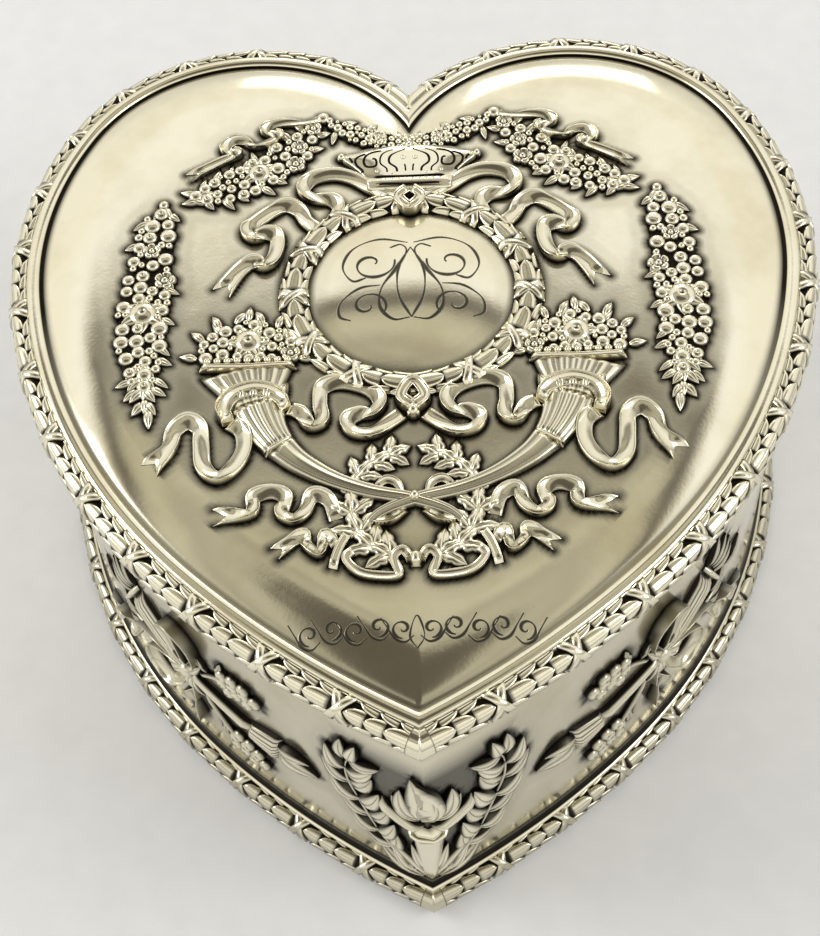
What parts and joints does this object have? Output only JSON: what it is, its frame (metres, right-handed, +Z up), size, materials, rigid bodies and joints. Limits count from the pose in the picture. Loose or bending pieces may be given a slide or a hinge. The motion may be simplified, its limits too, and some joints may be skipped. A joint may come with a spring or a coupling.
{
  "type": "heart-shaped trinket box",
  "caption": "Heart-shaped metal trinket box with laurel mouldings, a repousse lid hinged at the back of both lobes and a velvet-lined inside.",
  "frame": {"origin": "midway between front and back and between the sides, on the surface the box stands on", "axes": "+Z up, -Y towards the point of the heart, +Y towards the two lobes and the hinges, +X to the right seen from the point"},
  "size_m": [0.1394, 0.1464, 0.0703],
  "materials": {
    "silver": "polished sterling silver, oxidised dark in the recesses",
    "pin_steel": "drawn wire, nickel silver",
    "velvet": "short-pile velvet over wadding",
    "card": "bare board"
  },
  "bodies": {
    "base": {"base_plate": "silver", "body_wall": "silver", "base_moulding_left": "silver", "base_moulding_right": "silver", "base_strip": "silver", "body_bezel": "silver", "lining_wall": "velvet", "lining_floor_board": "card", "lining_floor_pad": "velvet", "hinge_left_body_knuckles": "silver", "hinge_right_body_knuckles": "silver", "hinge_left_body_bearer": "silver", "hinge_right_body_bearer": "silver", "hinge_left_pin": "pin_steel", "hinge_right_pin": "pin_steel"},
    "lid": {"lid_panel": "silver", "lid_skirt": "silver", "lid_moulding_left": "silver", "lid_moulding_right": "silver", "lid_bead_wire": "silver", "lid_edge_wire": "silver", "lid_lining_board": "card", "lid_lining_pad": "velvet", "hinge_left_lid_knuckles": "silver", "hinge_right_lid_knuckles": "silver", "hinge_left_lid_bearer": "silver", "hinge_right_lid_bearer": "silver"}
  },
  "joints": [
    {"name": "lid_hinge", "type": "hinge", "parent": "base", "child": "lid", "pos_m": [0, 0.07153, 0.06], "axis": [-1, 0, 0], "range_deg": [0, 100]}
  ]
}
